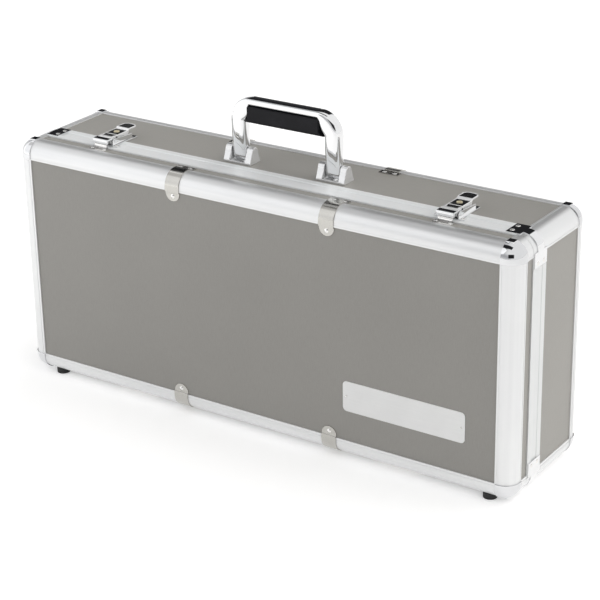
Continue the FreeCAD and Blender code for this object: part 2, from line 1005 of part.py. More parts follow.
def latch_plate():
    """Base plate with front ears, a seat on the panel and two cheeks."""
    floor = (z_top, z_top + latch_plate_thickness)
    plate = block(
        latch_span(latch_plate_width / 2), (latch_front, latch_front + latch_plate_length), floor
    )
    ears = block(
        latch_span(latch_ear_width / 2), (latch_front, latch_front + latch_ear_depth), floor
    )
    seat = block(
        latch_span(latch_plate_width / 2),
        (y_rim_back, latch_front + latch_plate_length),
        (panel_top, z_top),
    )
    parts = [ears, seat]
    low = -lever_axis_height + latch_plate_thickness
    crest = -lever_axis_height + latch_cheek_height
    tail = -lever_axis_height + latch_cheek_tail_height
    bevel = latch_cheek_height / 3
    for start in (-cheek_outer, cheek_inner):
        place = latch_point(start)
        parts.append(
            slab(
                [
                    place(-lever_nose_radius, low),
                    place(-lever_nose_radius, crest - bevel),
                    place(-lever_nose_radius + bevel, crest),
                    place(lever_nose_radius, crest),
                    place(latch_cheek_length - lever_nose_radius, tail),
                    place(latch_cheek_length - lever_nose_radius, low),
                ],
                Vector(latch_cheek_thickness, 0, 0),
            )
        )
    plate = plate.fuse(parts).removeSplitter()
    pins = across(cheek_outer, 0, 0, lever_pin_radius)
    return plate.cut([pins] + [shank(seat, out, rivet_grip) for seat, out in latch_rivet_seats()])


def latch_rivet_seats():
    top = z_top + latch_plate_thickness
    ear_y = latch_front + latch_ear_depth / 2
    tail_y = latch_front + latch_plate_length - latch_ear_depth / 2
    seats = [
        (Vector(latch_x + side * latch_ear_rivet_pitch / 2, ear_y, top), Vector(0, 0, 1))
        for side in (-1, 1)
    ]
    return seats + [(Vector(latch_x, tail_y, top), Vector(0, 0, 1))]


def lever_pins():
    """Two short pivots from the cheeks into the lever's walls."""
    whole = across(cheek_outer, 0, 0, lever_pin_radius)
    return solids_of([whole.cut(across(lever_half - lever_wall, 0, 0, lever_pin_radius))])


def insert_outlines():
    """Plan of each black insert as (y, half width) points, with the height of its face."""
    wide = lever_half - insert_margin
    front_end = insert_front_length
    middle = (front_end + insert_gap, lever_flat_length - insert_gap / 2)
    rear_end = lever_length - insert_margin
    bend = lever_tab_end_radius - insert_margin
    flat = lever_nose_radius
    return [
        ([(0, wide - insert_front_taper), (front_end, wide)], 0, flat),
        ([(middle[0], wide), (middle[1], wide)], 0, flat),
        ([(tab_start + insert_gap / 2, wide), (rear_end, wide)], bend, flat + lever_tab_rise),
    ]


def insert_solid(outline, bend, low, high):
    """Prism of an insert between two heights, its rear corners rounded by bend."""
    place = latch_point(0)
    (near, near_half), (far, far_half) = outline
    shape = slab(
        [
            place(near, low) + Vector(-near_half, 0, 0),
            place(near, low) + Vector(near_half, 0, 0),
            place(far, low) + Vector(far_half, 0, 0),
            place(far, low) + Vector(-far_half, 0, 0),
        ],
        Vector(0, 0, high - low),
    )
    if bend:
        shape = round_rear(shape, bend)
    return shape


def round_rear(shape, radius):
    """Round the two upright edges at the rear end."""
    rear = shape.BoundBox.YMax
    corners = [
        edge
        for edge in shape.Edges
        if edge.BoundBox.YMin > rear - insert_recess and edge.BoundBox.ZLength > insert_recess
        and edge.BoundBox.XLength < insert_recess
    ]
    return shape.makeFillet(radius, corners)


def latch_inserts():
    inserts = []
    for outline, bend, face in insert_outlines():
        inserts.append(insert_solid(outline, bend, face - insert_sink, face - insert_recess))
    return [insert.cut(key_room()) for insert in inserts]


def key_middle():
    outline = insert_outlines()[1][0]
    return (outline[0][0] + outline[1][0]) / 2


def key_room():
    place = latch_point(0)
    reach = key_radius + key_clearance
    low = lever_nose_radius - lever_wall
    return rod(
        reach, place(key_middle(), low - cut_overrun), place(key_middle(), low + cut_overrun)
    )


def key_cylinder():
    """Key cylinder with a slot for the key."""
    place = latch_point(0)
    face = lever_nose_radius + key_rise
    body = rod(key_radius, place(key_middle(), face - key_length), place(key_middle(), face))
    slot = block(
        latch_span(key_slot_width / 2),
        (
            lever_y + key_middle() - key_slot_length / 2,
            lever_y + key_middle() + key_slot_length / 2,
        ),
        (lever_z + face - key_slot_depth, lever_z + face + cut_overrun),
    )
    return body.cut(slot)


def latch_lever():
    """Lever: a channel with a round nose, pockets for the inserts and a raised thumb tab."""
    place = latch_point(-lever_half)
    nose = lever_nose_radius
    tab_top = nose + lever_tab_rise
    tab_low = tab_top - lever_tab_thickness
    body = slab(
        [
            place(0, nose),
            (place(-nose, 0), place(0, -nose)),
            place(lever_flat_length, -lever_heel_drop),
            place(tab_start, tab_low),
            place(lever_length, tab_low),
            place(lever_length, tab_top),
            place(tab_start, tab_top),
            place(lever_flat_length, nose),
        ],
        Vector(lever_width, 0, 0),
    )
    body = round_rear(body, lever_tab_end_radius)
    channel = block(
        latch_span(lever_half - lever_wall),
        (lever_y - lever_wall, lever_y + lever_flat_length - lever_wall),
        (lever_z - nose - cut_overrun, lever_z + nose - lever_wall),
    )
    bore = across(lever_half, 0, 0, lever_pin_radius + lever_running_clearance)
    pockets = [
        insert_solid(outline, bend, face - insert_sink, face + cut_overrun)
        for outline, bend, face in insert_outlines()
    ]
    bail_studs = across(arm_outer, bail_pin_back, bail_pin_up, bail_pin_radius)
    body = body.fuse(bail_studs)
    return body.cut([channel, bore, key_room()] + pockets).removeSplitter()


def latch_bail():
    """Bail: a rounded nose over the keeper, a tongue behind it and two arms beside the lever."""
    place = latch_point(-arm_outer)
    turn = bail_nose_round * arc_share
    nose = slab(
        [
            place(nose_back, nose_under),
            place(nose_back, nose_top - bail_tongue_thickness),
            place(tongue_back, nose_top - bail_tongue_thickness),
            place(tongue_back, nose_top),
            place(nose_front + bail_nose_round, nose_top),
            (
                place(nose_front + turn, nose_top - turn),
                place(nose_front, nose_top - bail_nose_round),
            ),
            place(nose_front, nose_under),
        ],
        Vector(2 * arm_outer, 0, 0),
    )
    parts = []
    half = bail_arm_height / 2
    for start in (-arm_outer, arm_inner):
        arm = latch_point(start)
        parts.append(
            slab(
                [
                    arm(nose_back, bail_pin_up - half),
                    arm(bail_pin_back, bail_pin_up - half),
                    (
                        arm(bail_pin_back + half, bail_pin_up),
                        arm(bail_pin_back, bail_pin_up + half),
                    ),
                    arm(nose_back, bail_pin_up + half),
                ],
                Vector(bail_thickness, 0, 0),
            )
        )
    bore = across(arm_outer, bail_pin_back, bail_pin_up, bail_pin_radius + bail_running_clearance)
    return nose.fuse(parts).removeSplitter().cut(bore)


def latch_keeper():
    """Keeper on the lid's strip, with a lip that stands up under the bail's nose."""
    plate_back = keeper_y + keeper_lip_depth / 2
    plate = block(
        latch_span(keeper_width / 2),
        (plate_back - keeper_depth, plate_back),
        (panel_top, panel_top + keeper_thickness),
    )
    lip = block(
        latch_span(keeper_lip_width / 2),
        (plate_back - keeper_lip_depth, plate_back),
        (panel_top, lever_z + nose_under - keeper_clearance),
    )
    return plate.fuse(lip).removeSplitter()


def keeper_rivet_seats():
    y = keeper_y + keeper_lip_depth / 2 - keeper_depth / 2
    z = panel_top + keeper_thickness
    return [
        (Vector(latch_x + side * keeper_rivet_pitch / 2, y, z), Vector(0, 0, 1))
        for side in (-1, 1)
    ]


# Foam lining, each pad inside the frame of inner flanges
pad_margin = edge_width + lining_clearance
pad_x = (-x_end + pad_margin, x_end - pad_margin)
pad_z = (z_bottom + pad_margin, z_top - pad_margin)
pad_y = (y_rim_back + lining_clearance, y_back - pad_margin)


def base_lining():
    top = block(pad_x, pad_y, (z_top - panel_inside - lining_wall, z_top - panel_inside))
    top = top.cut(both_sides(backing_plate(lining_pocket_clearance)))
    bottom = block(
        pad_x, pad_y, (z_bottom + panel_inside, z_bottom + panel_inside + lining_wall)
    )
    side = block((x_end - panel_inside - lining_wall, x_end - panel_inside), pad_y, pad_z)
    back = block(pad_x, (y_back - panel_inside - lining_back, y_back - panel_inside), pad_z)
    return [top, bottom, back] + both_sides(side)


def lid_lining():
    return block(pad_x, (y_front + panel_inside, y_front + panel_inside + lining_lid), pad_z)


# Assembly
def seats_to(seats, shape_of, grip):
    return [shape_of(foot, out, grip) for foot, out in seats]


def mirrored(shapes, flips):
    """The shapes, each flipped by every function in turn beside the ones before."""
    found = list(shapes)
    for flip in flips:
        found += [flip(shape) for shape in found]
    return found


os.makedirs("parts", exist_ok=True)

clip_seats = clip_rivet_seats()
lid_clip_rivets = mirrored(seats_to(clip_seats, rivet, rivet_grip), (in_x, in_z))
lid_clip_holes = mirrored(seats_to(clip_seats, shank, rivet_grip), (in_x, in_z))
bracket_rivets = mirrored(seats_to(bracket_rivet_seats(), rivet, rivet_grip), (in_x, in_z))
bracket_holes = mirrored(seats_to(bracket_rivet_seats(), shank, rivet_grip), (in_x, in_z))
latch_rivets = mirrored(seats_to(latch_rivet_seats(), rivet, rivet_grip), (in_x,))
latch_holes = mirrored(seats_to(latch_rivet_seats(), shank, rivet_grip), (in_x,))
keeper_rivets = mirrored(seats_to(keeper_rivet_seats(), rivet, rivet_grip), (in_x,))
keeper_holes = mirrored(seats_to(keeper_rivet_seats(), shank, rivet_grip), (in_x,))
base_hinge_rivets = mirrored(seats_to(hinge_rivet_seats(1), rivet, rivet_grip), (in_x,))
base_hinge_holes = mirrored(seats_to(hinge_rivet_seats(1), shank, rivet_grip), (in_x,))
lid_hinge_rivets = mirrored(seats_to(hinge_rivet_seats(-1), rivet, rivet_grip), (in_x,))
lid_hinge_holes = mirrored(seats_to(hinge_rivet_seats(-1), shank, rivet_grip), (in_x,))
plate_pins = [plate_pin(foot, out) for foot, out in nameplate_pin_seats()]
plate_pin_holes = [plate_pin_hole(foot, out) for foot, out in nameplate_pin_seats()]
lid_foot_holes = both_sides(front_foot_hole())
base_foot_holes = [in_y(hole) for hole in lid_foot_holes]
base_clip_rivets = [in_y(shape) for shape in lid_clip_rivets]
base_clip_holes = [in_y(shape) for shape in lid_clip_holes]

base_holes = base_clip_holes + bracket_holes + latch_holes + base_hinge_holes
base_holes += base_foot_holes + both_sides(Part.makeCompound(mount_screw_holes()))
lid_holes = lid_clip_holes + keeper_holes + lid_hinge_holes + lid_foot_holes + plate_pin_holes


def write_base(name, shapes):
    write(name, [clear_of(shape, base_holes) for shape in shapes])


def write_lid(name, shapes):
    write(name, [clear_of(shape, lid_holes) for shape in shapes])


# Frames at the back and the front
long_edge = top_back_edge()
upright_edge = right_back_edge()
write_base("back_edge_top", [long_edge])
write_base("back_edge_bottom", [in_z(long_edge)])
write_base("back_edge_right", [upright_edge])
write_base("back_edge_left", [in_x(upright_edge)])
write_lid("front_edge_top", [in_y(long_edge)])
write_lid("front_edge_bottom", [in_y(in_z(long_edge))])
write_lid("front_edge_right", [in_y(upright_edge)])
write_lid("front_edge_left", [in_y(in_x(upright_edge))])

# Edges along the depth, cleared where the lid's tongue passes
base_tongue_room = inside_walls(
    panel_inside - tongue_clearance, (y_parting - cut_overrun, y_tongue_room)
)
lid_tongue_seat = inside_walls(panel_inside, (y_front + edge_width, y_parting + cut_overrun))
base_depth_edge = depth_edge(y_rim_front, y_back - edge_width).cut(base_tongue_room)
lid_depth_edge = depth_edge(y_front + edge_width, y_parting).cut(lid_tongue_seat)
write_base("base_corner_edges", four_corners(base_depth_edge))
write_lid("lid_corner_edges", four_corners(lid_depth_edge))

# Rim profiles
write_base("rim_profile_top", [top_rim()])
write_base("rim_profile_bottom", [in_z(top_rim())])
write_base("rim_profile_right", [right_rim()])
write_base("rim_profile_left", [in_x(right_rim())])

# Panels
panel_behind = back_panel()
top_panel = block(panel_x, base_panel_y, top_layer)
right_panel = block(right_layer, base_panel_y, panel_z)
top_lid_strip = block(panel_x, strip_y, top_layer)
right_lid_strip = block(right_layer, strip_y, panel_z)
write_base("base_back_panel", [panel_behind])
write_base("base_top_panel", [top_panel])
write_base("base_bottom_panel", [in_z(top_panel)])
write_base("base_right_panel", [right_panel])
write_base("base_left_panel", [in_x(right_panel)])
write_lid("lid_front_panel", [in_y(panel_behind)])
write_lid("lid_side_strips", [top_lid_strip, in_z(top_lid_strip)] + both_sides(right_lid_strip))

# Tongue of the lid: long strips at top and bottom, short ones between them
tongue_y = (y_front + edge_width, y_tongue_end)
tongue_inside = panel_inside + tongue_thickness
long_tongue = block(
    (-x_end + panel_inside, x_end - panel_inside),
    tongue_y,
    (z_top - tongue_inside, z_top - panel_inside),
)
short_tongue = block(
    (x_end - tongue_inside, x_end - panel_inside),
    tongue_y,
    (z_bottom + tongue_inside, z_top - tongue_inside),
)
write_lid("lid_rim_tongue", [long_tongue, in_z(long_tongue)] + both_sides(short_tongue))

# Corners, clips and brackets
back_caps = four_corners(top_right_back_cap())
write("back_corner_caps", back_caps)
write("front_corner_caps", [in_y(cap) for cap in back_caps])
clips = four_corners(top_front_clip())
write_lid("lid_edge_clips", clips)
write_base("back_edge_clips", [in_y(clip) for clip in clips])
write_base("rim_corner_brackets", four_corners(top_right_bracket()))
write("base_rivets", base_clip_rivets + bracket_rivets + latch_rivets + base_hinge_rivets)
write("lid_rivets", lid_clip_rivets + keeper_rivets + lid_hinge_rivets)
write_lid("nameplate", [nameplate()])
write("nameplate_pins", plate_pins)

# Feet
foot = front_foot()
screw = front_foot_screw()
write("lid_feet", both_sides(foot))
write("base_feet", both_sides(in_y(foot)))
write("lid_screws", both_sides(screw))
write("base_screws", both_sides(in_y(screw)) + mirrored(mount_screws(), (in_x,)))

# Hinges
base_knuckles = [
    hinge_x - hinge_length / 2,
    hinge_x + hinge_length / 2 - knuckle_length,
]
middle_knuckle = [hinge_x - knuckle_length / 2]
write_base("hinge_base_leaves", both_sides(hinge_leaf(1, base_knuckles, hinge_pin_radius)))
lid_leaf = hinge_leaf(-1, middle_knuckle, hinge_pin_radius + hinge_running_clearance)
write_lid("hinge_lid_leaves", both_sides(lid_leaf))
write("hinge_pins", both_sides(hinge_pin()))

# Handle
write("handle_frame", [handle_frame()])
write("handle_grip", [handle_grip()])
write("handle_top_strip", [top_strip()])
write("handle_mount_right", [handle_mount()])
write("handle_mount_left", [in_x(handle_mount())])
write("handle_pins", both_sides(handle_pin()))
write_base("handle_backing_plates", both_sides(backing_plate()))

# Latches
write_lid("latch_keepers", both_sides(latch_keeper()))
write("latch_pins", mirrored(lever_pins(), (in_x,)))
for side, turn in (("right", lambda shape: shape), ("left", in_x)):
    write("latch_plate_" + side, [turn(shape) for shape in [latch_plate()]])
    write("latch_lever_" + side, [turn(latch_lever())])
    write("latch_inserts_" + side, [turn(shape) for shape in latch_inserts()])
    write("latch_bail_" + side, [turn(latch_bail())])
    write("latch_key_" + side, [turn(key_cylinder())])

# Lining
write("base_lining", base_lining())
write("lid_lining", [lid_lining()])
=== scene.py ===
import json
import logging
import math
from dataclasses import dataclass
from enum import Enum
from typing import Callable, Dict, Iterable, List, Optional, Protocol, Sequence, Tuple, Union

import bmesh
import bpy
from mathutils import Matrix, Vector

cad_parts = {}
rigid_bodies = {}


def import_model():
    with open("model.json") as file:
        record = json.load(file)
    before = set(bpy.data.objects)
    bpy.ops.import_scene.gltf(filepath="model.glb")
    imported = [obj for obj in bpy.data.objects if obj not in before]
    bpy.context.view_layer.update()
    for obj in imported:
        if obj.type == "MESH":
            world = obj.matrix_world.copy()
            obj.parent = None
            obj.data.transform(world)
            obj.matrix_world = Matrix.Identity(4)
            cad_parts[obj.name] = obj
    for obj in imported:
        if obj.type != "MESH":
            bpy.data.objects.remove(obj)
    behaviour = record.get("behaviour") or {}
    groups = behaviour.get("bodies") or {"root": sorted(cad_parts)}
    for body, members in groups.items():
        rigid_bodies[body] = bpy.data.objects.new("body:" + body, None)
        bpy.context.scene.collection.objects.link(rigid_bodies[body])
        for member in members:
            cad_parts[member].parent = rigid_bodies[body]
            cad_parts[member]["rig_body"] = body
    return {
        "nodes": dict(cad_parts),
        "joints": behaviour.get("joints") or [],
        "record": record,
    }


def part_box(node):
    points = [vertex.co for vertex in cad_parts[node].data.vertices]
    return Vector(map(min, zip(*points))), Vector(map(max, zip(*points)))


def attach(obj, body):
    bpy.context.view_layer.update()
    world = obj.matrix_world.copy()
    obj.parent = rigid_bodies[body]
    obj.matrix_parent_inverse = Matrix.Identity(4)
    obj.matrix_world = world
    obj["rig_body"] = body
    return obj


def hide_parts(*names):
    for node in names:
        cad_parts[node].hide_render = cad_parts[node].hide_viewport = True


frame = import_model()

MM = 0.001
MERGE_DISTANCE = 0.002 * MM
FLAT_ANGLE = math.radians(0.5)
SHARP_ANGLE = math.radians(40)
SMALLEST_CORNER = 0.01
BLACK = (0.0, 0.0, 0.0)
WHITE = (1.0, 1.0, 1.0)

Colour = Tuple[float, float, float]
Value = Union["Wire", float]
Box = Tuple[Vector, Vector]
Station = Tuple[Vector, Vector, float]
Height = Callable[[float, float, float, float], float]

log = logging.getLogger("case")


class Axis(Enum):
    """Direction in which a grain runs, in the case's own frame."""

    X = 0
    Y = 1
    Z = 2


class Wire:
    """A shader socket that takes part in Python sums, each of which adds a Math node."""

    def __init__(self, surface: "Surface", socket: bpy.types.NodeSocket) -> None:
        """Keep the socket and the surface that it belongs to."""
        self.surface = surface
        self.socket = socket

    def _sum(self, operation: str, first: Value, second: Value) -> "Wire":
        """Add one Math node.

        Args:
            operation: the Math node's operation.
            first: the first value or wire.
            second: the second value or wire.

        Returns:
            The node's output.
        """
        settings = {"operation": operation}
        return self.surface.node("ShaderNodeMath", settings, {0: first, 1: second})

    def __add__(self, other: Value) -> "Wire":
        """Sum of two values."""
        return self._sum("ADD", self, other)

    def __radd__(self, other: Value) -> "Wire":
        """Sum with a plain number first."""
        return self._sum("ADD", other, self)

    def __sub__(self, other: Value) -> "Wire":
        """Difference of two values."""
        return self._sum("SUBTRACT", self, other)

    def __rsub__(self, other: Value) -> "Wire":
        """Difference with a plain number first."""
        return self._sum("SUBTRACT", other, self)

    def __mul__(self, other: Value) -> "Wire":
        """Product of two values."""
        return self._sum("MULTIPLY", self, other)

    def __rmul__(self, other: Value) -> "Wire":
        """Product with a plain number first."""
        return self._sum("MULTIPLY", other, self)

    def at_most(self, other: Value) -> "Wire":
        """The smaller of two values."""
        return self._sum("MINIMUM", self, other)

    def between(self, low: float, high: float) -> "Wire":
        """Share of the way from low to high, smoothed and kept from 0 to 1.

        Args:
            low: value that gives 0.
            high: value that gives 1.

        Returns:
            The share.
        """
        settings = {"interpolation_type": "SMOOTHSTEP"}
        values = {"Value": self, "From Min": low, "From Max": high}
        return self.surface.node("ShaderNodeMapRange", settings, values)


class Surface:
    """The node tree of one finish, or of the room's light."""

    def __init__(self, tree: bpy.types.NodeTree) -> None:
        """Start from an empty tree."""
        self.tree = tree
        self.tree.nodes.clear()

    def node(
        self,
        kind: str,
        settings: Optional[Dict[str, object]] = None,
        values: Optional[Dict[Union[str, int], object]] = None,
        output: Union[str, int] = 0,
    ) -> Wire:
        """Make a node of any type.

        Args:
            kind: the node's type.
            settings: attributes of the node, set first.
            values: numbers, colours or wires for its inputs.
            output: name or place of the output to hand back.

        Returns:
            That output as a wire.
        """
        made = self.tree.nodes.new(kind)
        for name, value in (settings or {}).items():
            setattr(made, name, value)
        for name, value in (values or {}).items():
            if isinstance(value, Wire):
                self.tree.links.new(value.socket, made.inputs[name])
            else:
                made.inputs[name].default_value = value
        return Wire(self, made.outputs[output] if made.outputs else None)

    def place(self, scale: Sequence[float] = (1, 1, 1)) -> Wire:
        """Position on the piece in metres, stretched by a scale for each axis."""
        where = self.node("ShaderNodeTexCoord", output="Object")
        return self.node("ShaderNodeMapping", None, {"Vector": where, "Scale": tuple(scale)})

    def noise(self, where: Wire, scale: float, detail: float = 3, rough: float = 0.5) -> Wire:
        """Soft noise from 0 to 1.

        Args:
            where: position.
            scale: how many waves go into a metre.
            detail: number of finer layers.
            rough: weight of the finer layers.

        Returns:
            The noise.
        """
        values = {"Vector": where, "Scale": scale, "Detail": detail, "Roughness": rough}
        return self.node("ShaderNodeTexNoise", None, values)

    def cells(self, where: Wire, scale: float) -> Wire:
        """Distance to the nearest of many scattered points, per cell size."""
        return self.node("ShaderNodeTexVoronoi", None, {"Vector": where, "Scale": scale})

    def grain(self, axis: Axis, across: float, along: float) -> Wire:
        """Noise drawn out along one axis, as brushing or an extrusion die leaves it.

        Args:
            axis: direction of the lines.
            across: lines in a metre.
            along: waves in a metre of one line.

        Returns:
            The grain from 0 to 1.
        """
        scale = [across, across, across]
        scale[axis.value] = along
        return self.noise(self.place(scale), 1)

    def mix(self, share: Value, first: object, second: object) -> Wire:
        """Colour that goes from one to another.

        Args:
            share: share of the second.
            first: the first colour or wire.
            second: the second colour or wire.

        Returns:
            The mixed colour.
        """
        settings = {"data_type": "RGBA"}
        values = {0: share, 6: self._rgba(first), 7: self._rgba(second)}
        return self.node("ShaderNodeMix", settings, values, output=2)

    @staticmethod
    def _rgba(colour: object) -> object:
        """A plain colour with its alpha, or a wire as it is."""
        return colour if isinstance(colour, Wire) else (*colour, 1)

    def bump(self, height: Wire, depth: float, strength: float = 1) -> Wire:
        """Normal bent by a height field.

        Args:
            height: heights from 0 to 1.
            depth: height in metres that 1 stands for.
            strength: share of the effect.

        Returns:
            The normal.
        """
        values = {"Height": height, "Distance": depth, "Strength": strength}
        return self.node("ShaderNodeBump", None, values)

    def shade(self, values: Dict[str, object]) -> None:
        """Close the tree with the main shader.

        Args:
            values: numbers, colours and wires of the shader's sockets.
        """
        shader = self.node("ShaderNodeBsdfPrincipled", None, values)
        self.node("ShaderNodeOutputMaterial", None, {"Surface": shader})


def new_material(name: str) -> Tuple[bpy.types.Material, Surface]:
    """Make a material with an empty tree.

    Args:
        name: the material's name.

    Returns:
        The material, and the surface that fills it.
    """
    material = bpy.data.materials.new(name)
    material.use_nodes = True
    return material, Surface(material.node_tree)


class Finish(Protocol):
    """What every finish has: a name, and a way to make its material."""

    name: str

    def paint(self) -> bpy.types.Material:
        """Make the material."""


@dataclass(frozen=True)
class SatinAluminium:
    """Anodised extrusion: satin, with faint die lines along its length."""

    name: str
    axis: Axis
    colour: Colour = (0.815, 0.82, 0.82)
    shadow: Colour = (0.755, 0.76, 0.765)
    roughness: float = 0.40
    metallic: float = 0.8
    line_pitch: float = 0.35 * MM
    line_depth: float = 0.004 * MM
    line_waves: float = 6.0
    bands: float = 260.0
    band_waves: float = 3.0
    clouds: float = 9.0

    def paint(self) -> bpy.types.Material:
        """Make the material.

        Returns:
            The material.
        """
        material, s = new_material(self.name)
        lines = s.grain(self.axis, 1 / self.line_pitch, self.line_waves)
        broad = s.grain(self.axis, self.bands, self.band_waves)
        cloud = s.noise(s.place(), self.clouds)
        share = (0.25 * lines + 0.35 * broad + 0.4 * cloud).between(0.3, 0.7)
        tint = s.mix(share, self.shadow, self.colour)
        rough = self.roughness - 0.05 + 0.06 * lines + 0.05 * cloud
        s.shade({
            "Base Color": tint,
            "Metallic": self.metallic,
            "Roughness": rough,
            "Normal": s.bump(lines + broad, self.line_depth),
        })
        return material


@dataclass(frozen=True)
class Laminate:
    """Grey panel face with a fine brushed print and a satin sheen."""

    name: str
    axis: Axis
    colour: Colour
    dark: Colour
    roughness: float = 0.4
    fibre_pitch: float = 0.45 * MM
    fibre_length: float = 9 * MM
    relief: float = 0.012 * MM
    specks: float = 1400.0
    clouds: float = 7.0
    specular: float = 0.45

    def paint(self) -> bpy.types.Material:
        """Make the material.

        Returns:
            The material.
        """
        material, s = new_material(self.name)
        fibres = s.grain(self.axis, 1 / self.fibre_pitch, 1 / self.fibre_length)
        speck = s.noise(s.place(), self.specks, 2, 0.6)
        cloud = s.noise(s.place(), self.clouds, 2)
        share = (0.45 * fibres + 0.3 * speck + 0.25 * cloud).between(0.28, 0.72)
        tint = s.mix(share, self.dark, self.colour)
        s.shade({
            "Base Color": tint,
            "Roughness": self.roughness - 0.04 + 0.1 * speck,
            "Specular IOR Level": self.specular,
            "Normal": s.bump(0.6 * fibres + 0.4 * speck, self.relief),
        })
        return material


@dataclass(frozen=True)
class PolishedMetal:
    """Plated metal, mirror bright to softly brushed, with wiped marks."""

    name: str
    colour: Colour
    roughness: float
    smear: float
    metallic: float = 1.0
    wave_depth: float = 0.01 * MM
    waves: float = 140.0
    clouds: float = 60.0
    wipes: float = 900.0
    dimming: float = 0.95

    def paint(self) -> bpy.types.Material:
        """Make the material.

        Returns:
            The material.
        """
        material, s = new_material(self.name)
        cloud = s.noise(s.place(), self.clouds, 4)
        wipe = s.noise(s.place((1, 0.25, 1)), self.wipes, 2)
        wave = s.noise(s.place(), self.waves, 1)
        dim = [part * self.dimming for part in self.colour]
        tint = s.mix(cloud.between(0.2, 0.8), dim, self.colour)
        s.shade({
            "Base Color": tint,
            "Metallic": self.metallic,
            "Roughness": self.roughness + self.smear * cloud.between(0.35, 0.8) * wipe,
            "Normal": s.bump(wave, self.wave_depth),
        })
        return material


@dataclass(frozen=True)
class MouldedBlack:
    """Black moulded plastic or rubber with a fine grained skin."""

    name: str
    colour: Colour
    roughness: float
    pore_pitch: float
    pore_depth: float
    coat: float = 0.0
    specular: float = 0.5
    coat_roughness: float = 0.04
    dust_clouds: float = 45.0
    dust_gain: float = 1.7
    dust_lift: float = 0.004

    def paint(self) -> bpy.types.Material:
        """Make the material.

        Returns:
            The material.
        """
        material, s = new_material(self.name)
        pores = s.cells(s.place(), 1 / self.pore_pitch)
        dust = s.noise(s.place(), self.dust_clouds, 5, 0.6)
        dusty = [part * self.dust_gain + self.dust_lift for part in self.colour]
        tint = s.mix(dust.between(0.45, 0.85), self.colour, dusty)
        s.shade({
            "Base Color": tint,
            "Roughness": self.roughness + 0.1 * dust,
            "Coat Weight": self.coat,
            "Coat Roughness": self.coat_roughness,
            "Specular IOR Level": self.specular,
            "Normal": s.bump(pores, self.pore_depth),
        })
        return material


@dataclass(frozen=True)
class Foam:
    """Charcoal open-cell foam."""

    name: str
    colour: Colour = (0.028, 0.028, 0.030)
    light: Colour = (0.055, 0.055, 0.058)
    cell_pitch: float = 0.9 * MM
    cell_depth: float = 0.25 * MM
    fluffs: float = 700.0
    roughness: float = 0.95
    sheen: float = 0.15
    specular: float = 0.2

    def paint(self) -> bpy.types.Material:
        """Make the material.

        Returns:
            The material.
        """
        material, s = new_material(self.name)
        cells = s.cells(s.place(), 1 / self.cell_pitch)
        fluff = s.noise(s.place(), self.fluffs, 3, 0.7)
        tint = s.mix((0.7 * cells + 0.5 * fluff).between(0.2, 0.9), self.colour, self.light)
        s.shade({
            "Base Color": tint,
            "Roughness": self.roughness,
            "Sheen Weight": self.sheen,
            "Specular IOR Level": self.specular,
            "Normal": s.bump(cells + 0.5 * fluff, self.cell_depth),
        })
        return material


@dataclass(frozen=True)
class PaintedPlate:
    """Bare nameplate: satin white with a faint brushed base under it."""

    name: str
    colour: Colour = (0.90, 0.905, 0.90)
    shade_colour: Colour = (0.85, 0.855, 0.85)
    lines: float = 3200.0
    line_waves: float = 25.0
    line_depth: float = 0.003 * MM
    clouds: float = 30.0
    metallic: float = 0.12
    roughness: float = 0.34

    def paint(self) -> bpy.types.Material:
        """Make the material.

        Returns:
            The material.
        """
        material, s = new_material(self.name)
        brushed = s.grain(Axis.X, self.lines, self.line_waves)
        cloud = s.noise(s.place(), self.clouds)
        share = (0.5 * brushed + 0.5 * cloud).between(0.3, 0.7)
        tint = s.mix(share, self.shade_colour, self.colour)
        s.shade({
            "Base Color": tint,
            "Metallic": self.metallic,
            "Roughness": self.roughness + 0.1 * brushed,
            "Normal": s.bump(brushed, self.line_depth),
        })
        return material


GREY = (0.350, 0.340, 0.318)
GREY_DARK = (0.304, 0.295, 0.275)
EDGE_X = SatinAluminium("edge_along_case", Axis.X)
EDGE_Y = SatinAluminium("edge_along_depth", Axis.Y)
EDGE_Z = SatinAluminium("edge_upright", Axis.Z)
# Lighter copy of the one rim aluminium, used for the runs along the case: painted light.
RIM_X_PAINTED_LIGHT = SatinAluminium(
    "rim_along_case_painted_light",
    Axis.X,
    colour=(0.89, 0.905, 0.91),
    shadow=(0.82, 0.84, 0.855),
    roughness=0.42,
    metallic=0.18,
)
# Darker copy of the same rim aluminium, used for the upright runs: painted shade.
RIM_Z_PAINTED_SHADE = SatinAluminium(
    "rim_upright_painted_shade",
    Axis.Z,
    colour=(0.77, 0.78, 0.78),
    shadow=(0.71, 0.725, 0.73),
    roughness=0.42,
    metallic=0.3,
)
PANEL_X = Laminate("panel_grain_along", Axis.X, GREY, GREY_DARK)
PANEL_Z = Laminate("panel_grain_upright", Axis.Z, GREY, GREY_DARK)
CHROME = PolishedMetal("chrome_plate", (0.82, 0.825, 0.83), 0.035, 0.06)
